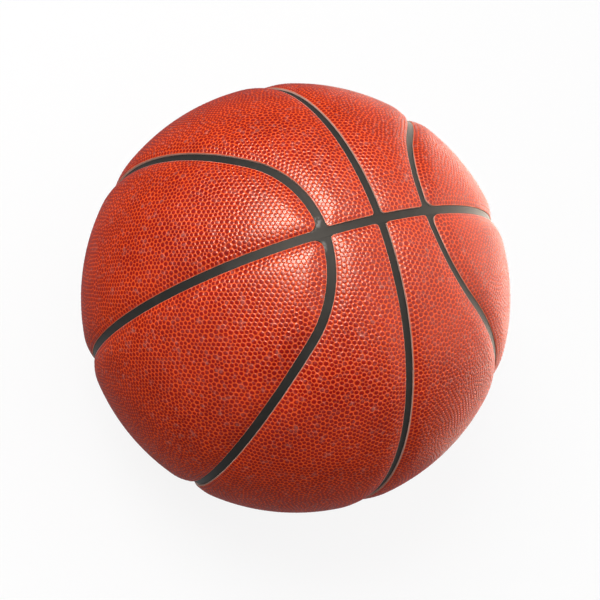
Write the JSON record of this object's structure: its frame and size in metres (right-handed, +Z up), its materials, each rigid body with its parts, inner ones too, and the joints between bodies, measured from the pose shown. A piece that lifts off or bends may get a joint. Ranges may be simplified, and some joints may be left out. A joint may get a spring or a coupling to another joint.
{
  "type": "basketball",
  "caption": "Inflatable basketball: pebbled cushioned cover panels between recessed black seam strips, over a thread-wound rubber carcass and bladder, with a replaceable needle valve.",
  "frame": {"origin": "centre of the ball", "axes": "+Z up through the crossing of the long and middle seams, +Y through the middle of a seam loop, with the long seam in the YZ plane and the middle seam in the XZ plane"},
  "size_m": [0.2408, 0.2408, 0.24],
  "materials": {
    "cover": "pebbled composite leather, semi-gloss",
    "sponge": "sponge rubber backing",
    "seam_rubber": "matte black",
    "carcass": "matte black",
    "thread": "wound nylon thread",
    "bladder": "butyl, satin",
    "valve_rubber": "satin black"
  },
  "bodies": {
    "ball": {"bladder": "bladder", "carcass": "carcass", "cover_panel_loop_front_left": "cover", "cover_panel_loop_front_right": "cover", "cover_panel_loop_rear_left": "cover", "cover_panel_loop_rear_right": "cover", "cover_panel_side_front_left": "cover", "cover_panel_side_front_right": "cover", "cover_panel_side_rear_left": "cover", "cover_panel_side_rear_right": "cover", "foam_pad_loop_front_left": "sponge", "foam_pad_loop_front_right": "sponge", "foam_pad_loop_rear_left": "sponge", "foam_pad_loop_rear_right": "sponge", "foam_pad_side_front_left": "sponge", "foam_pad_side_front_right": "sponge", "foam_pad_side_rear_left": "sponge", "foam_pad_side_rear_right": "sponge", "seam_strip_long": "seam_rubber", "seam_strip_loop_front_left": "seam_rubber", "seam_strip_loop_front_right": "seam_rubber", "seam_strip_loop_rear_left": "seam_rubber", "seam_strip_loop_rear_right": "seam_rubber", "seam_strip_middle_left": "seam_rubber", "seam_strip_middle_right": "seam_rubber", "thread_winding": "thread", "valve_seat": "valve_rubber"},
    "valve_core": {"valve_core": "valve_rubber"}
  },
  "joints": [
    {"name": "valve_core_slide", "type": "slide", "parent": "ball", "child": "valve_core", "axis": [-0.5, 0.866, 0], "range_m": [0, 0.022]}
  ]
}
